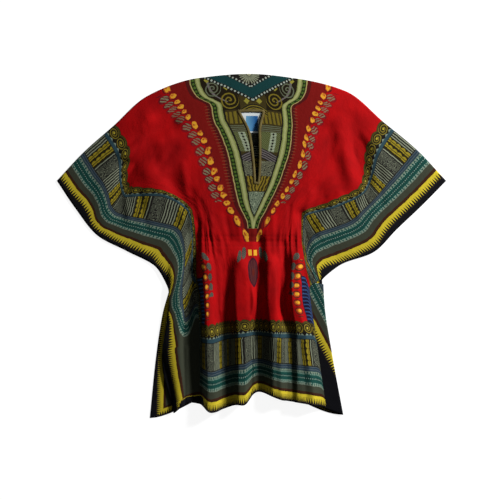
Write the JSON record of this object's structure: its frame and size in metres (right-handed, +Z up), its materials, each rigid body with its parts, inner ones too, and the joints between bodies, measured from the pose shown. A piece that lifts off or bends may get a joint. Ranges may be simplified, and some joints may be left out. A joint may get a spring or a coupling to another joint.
{
  "type": "dashiki shirt, laid flat",
  "caption": "Wide-sleeved printed cotton tunic shirt with a slit neck and a gathered waist, laid flat with its front up.",
  "frame": {"origin": "centre of the shirt's bounding box, on the surface it lies on", "axes": "+X to the right as the front is seen from above with the neck at the top, +Y from the hem to the neck, +Z up from the surface"},
  "size_m": [0.914, 0.808, 0.0329],
  "materials": {
    "back_cloth": "printed plain-weave cotton, matte",
    "front_cloth": "printed plain-weave cotton, matte with a faint wax sheen",
    "binding": "folded cotton tape, stitched",
    "label": "plain woven satin label"
  },
  "bodies": {
    "root": {"back": "back_cloth", "front": "front_cloth", "neck_binding": "binding", "neck_label": "label"}
  },
  "joints": []
}
